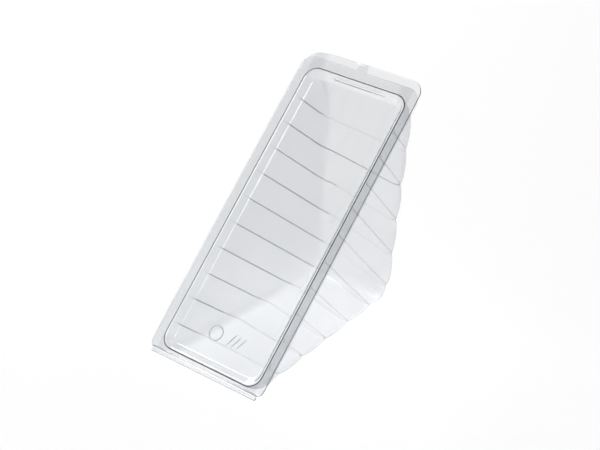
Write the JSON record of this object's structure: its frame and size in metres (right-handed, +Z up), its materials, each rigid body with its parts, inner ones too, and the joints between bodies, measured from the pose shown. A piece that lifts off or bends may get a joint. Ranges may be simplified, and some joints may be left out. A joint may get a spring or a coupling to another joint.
{
  "type": "sandwich wedge pack",
  "caption": "Clear hinged wedge pack for a cut sandwich: ribbed triangular tray, flat lid with a recessed panel, rolled hinge bead and offset pull tabs.",
  "frame": {"origin": "centre of the footprint, on the surface that the pack stands on", "axes": "+Z up, X along the hinge and across the pack, the hinge at the front at -Y, the sloping lid facing -Y and up, the upright back wall at +Y"},
  "size_m": [0.079, 0.1402, 0.14],
  "materials": {
    "clear_base": "thin clear thermoformed sheet, glossy on both faces",
    "clear_lid": "thin clear thermoformed sheet, glossy on both faces"
  },
  "bodies": {
    "base": {"wedge_base": "clear_base"},
    "lid": {"wedge_lid": "clear_lid"}
  },
  "joints": [
    {"name": "lid_hinge", "type": "hinge", "parent": "base", "child": "lid", "pos_m": [0, -0.06849, 0.00407], "axis": [1, 0, 0], "range_deg": [0, 135]}
  ]
}
